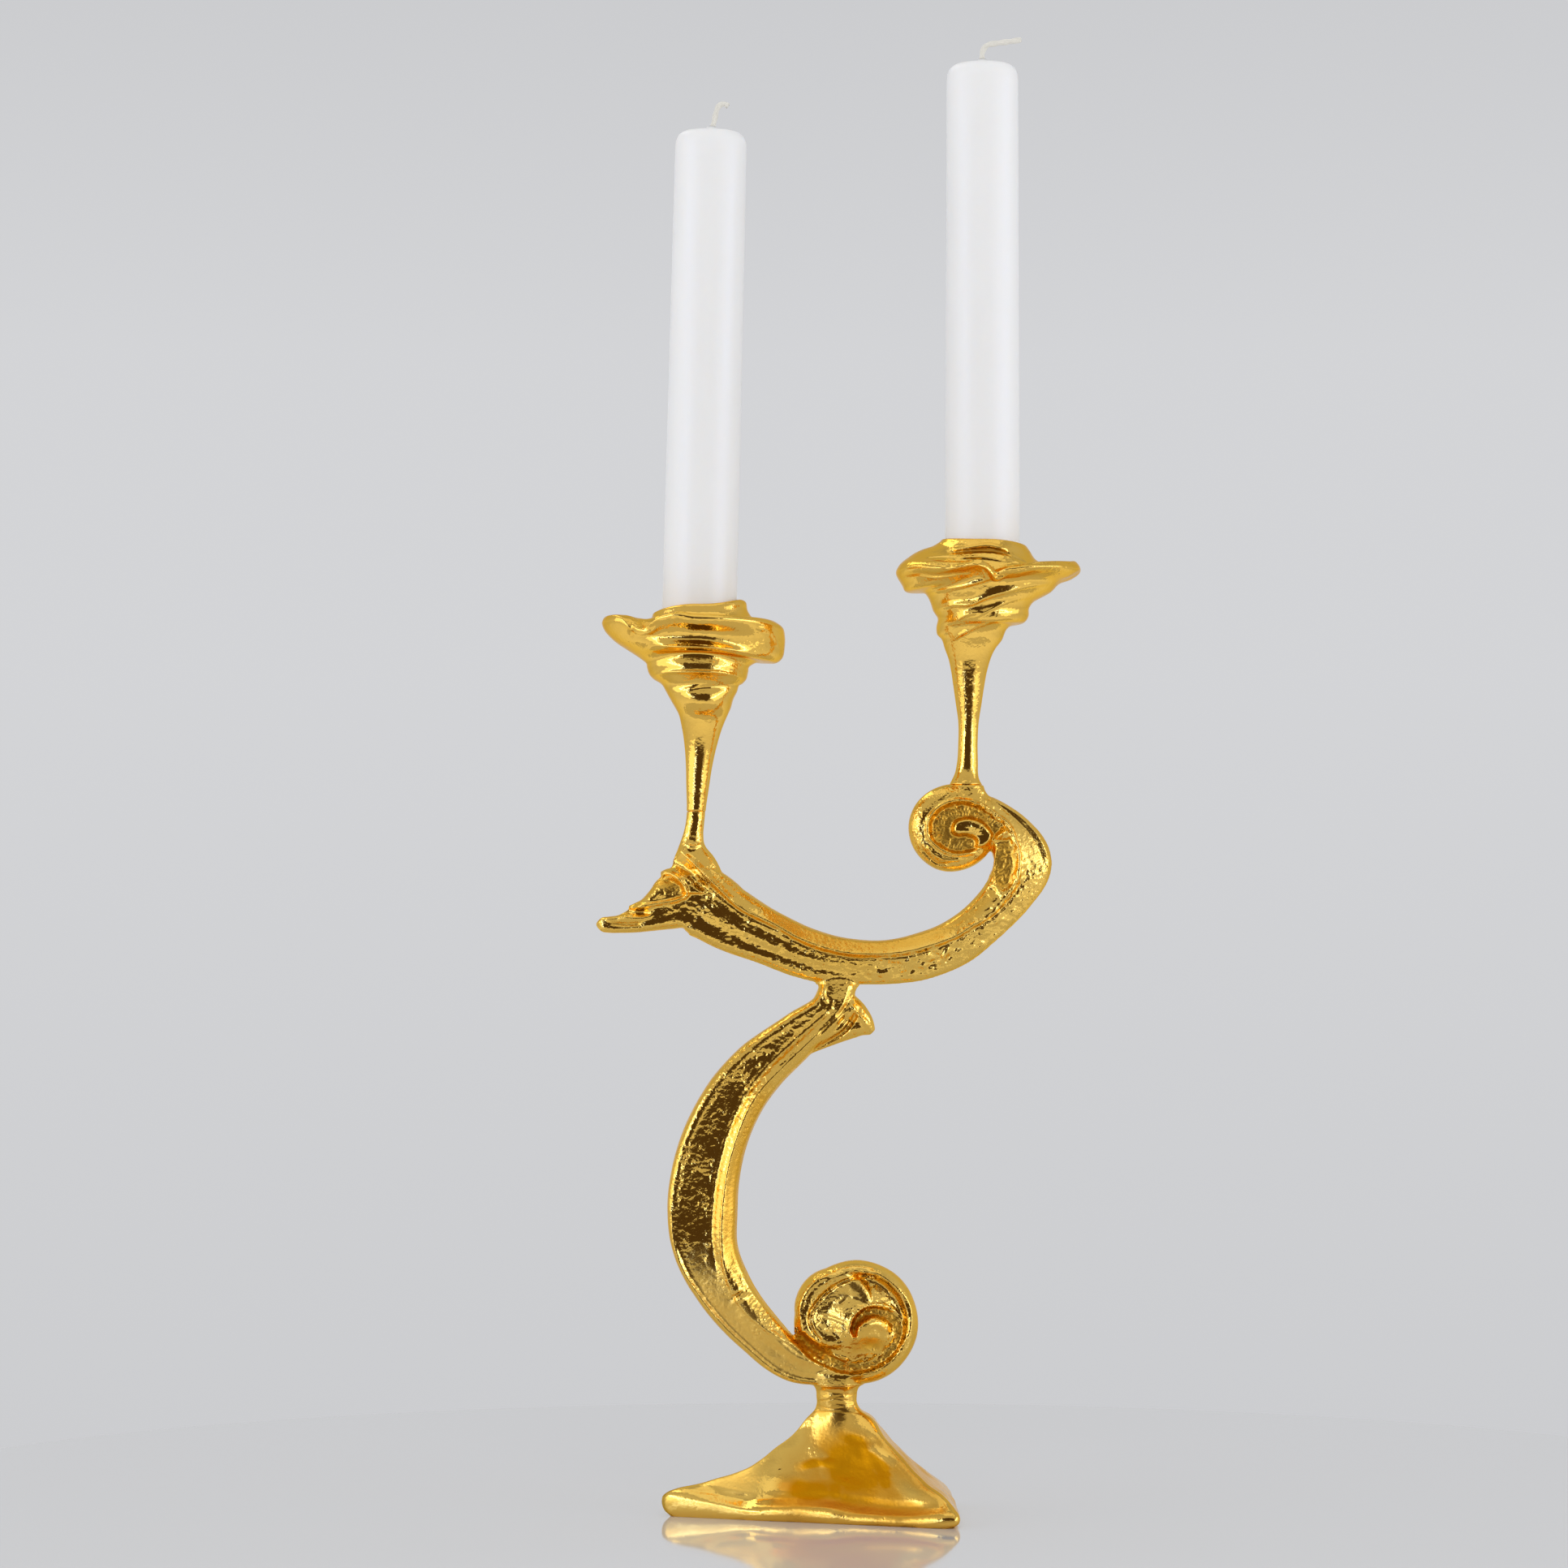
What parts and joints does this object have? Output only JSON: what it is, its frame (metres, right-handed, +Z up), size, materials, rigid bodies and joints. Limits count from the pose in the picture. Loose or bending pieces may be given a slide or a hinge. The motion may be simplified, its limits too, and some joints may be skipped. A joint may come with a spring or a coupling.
{
  "type": "two-arm candle holder",
  "caption": "Gilt cast candle holder: a three-cornered foot, stacked C scrolls with volutes, and wavy-brimmed cups on slender stems that hold candles.",
  "frame": {"origin": "on the table, under the neck of the foot and the middle of the object's width", "axes": "+Z up, +X towards the higher cup, front faces -Y"},
  "size_m": [0.1387, 0.0672, 0.434],
  "materials": {
    "gilt": "polished gilding over an uneven cast surface",
    "steel": "plain steel fasteners",
    "wax": "smooth white wax",
    "wick": "braided cotton"
  },
  "bodies": {
    "holder": {"foot": "gilt", "foot_stud": "steel", "foot_washer": "steel", "foot_nut": "steel", "lower_scroll": "gilt", "scroll_stud": "steel", "upper_scroll": "gilt", "left_cup_stud": "steel", "right_cup_stud": "steel", "left_candle_cup": "gilt", "right_candle_cup": "gilt"},
    "left_candle": {"left_candle_wax": "wax", "left_candle_wick": "wick"},
    "right_candle": {"right_candle_wax": "wax", "right_candle_wick": "wick"}
  },
  "joints": [
    {"name": "left_candle_lift", "type": "slide", "parent": "holder", "child": "left_candle", "axis": [0.025, 0, 0.9997], "range_m": [0, 0.06]},
    {"name": "right_candle_lift", "type": "slide", "parent": "holder", "child": "right_candle", "axis": [0, 0, 1], "range_m": [0, 0.06]}
  ]
}
